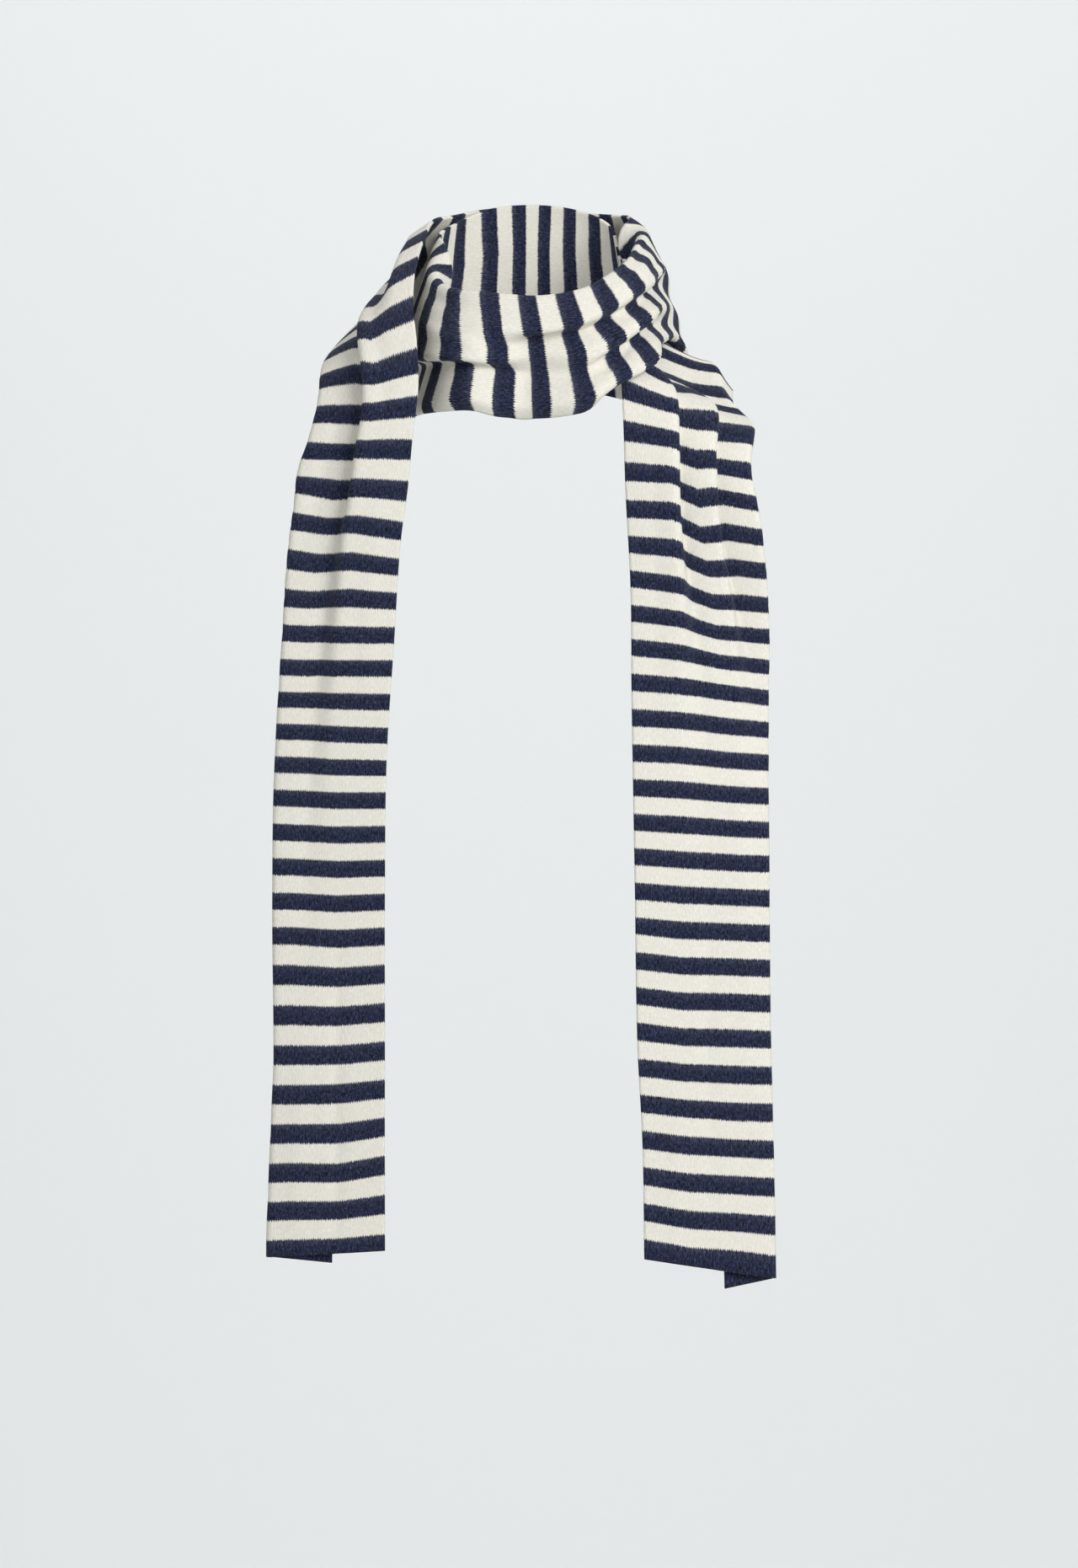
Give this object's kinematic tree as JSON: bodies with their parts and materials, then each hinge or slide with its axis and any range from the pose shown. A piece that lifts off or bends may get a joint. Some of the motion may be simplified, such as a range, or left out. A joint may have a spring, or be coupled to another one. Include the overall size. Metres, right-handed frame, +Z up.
{
  "type": "knitted scarf",
  "caption": "Long striped knitted scarf wound loosely round the neck, with folds at the front and both ends hanging down.",
  "frame": {"origin": "in the middle of the neck opening, level with the front of its rim", "axes": "+Z up, -Y towards the viewer of the picture, +X to the viewer's right"},
  "size_m": [0.4026, 0.2409, 0.8603],
  "materials": {
    "knit": "soft brushed jersey knit in navy blue and cream stripes"
  },
  "bodies": {
    "root": {"right_tail": "knit", "right_shoulder": "knit", "back_inner": "knit", "left_side": "knit", "front_cowl": "knit", "back_outer": "knit", "left_shoulder": "knit", "left_tail": "knit"}
  },
  "joints": []
}
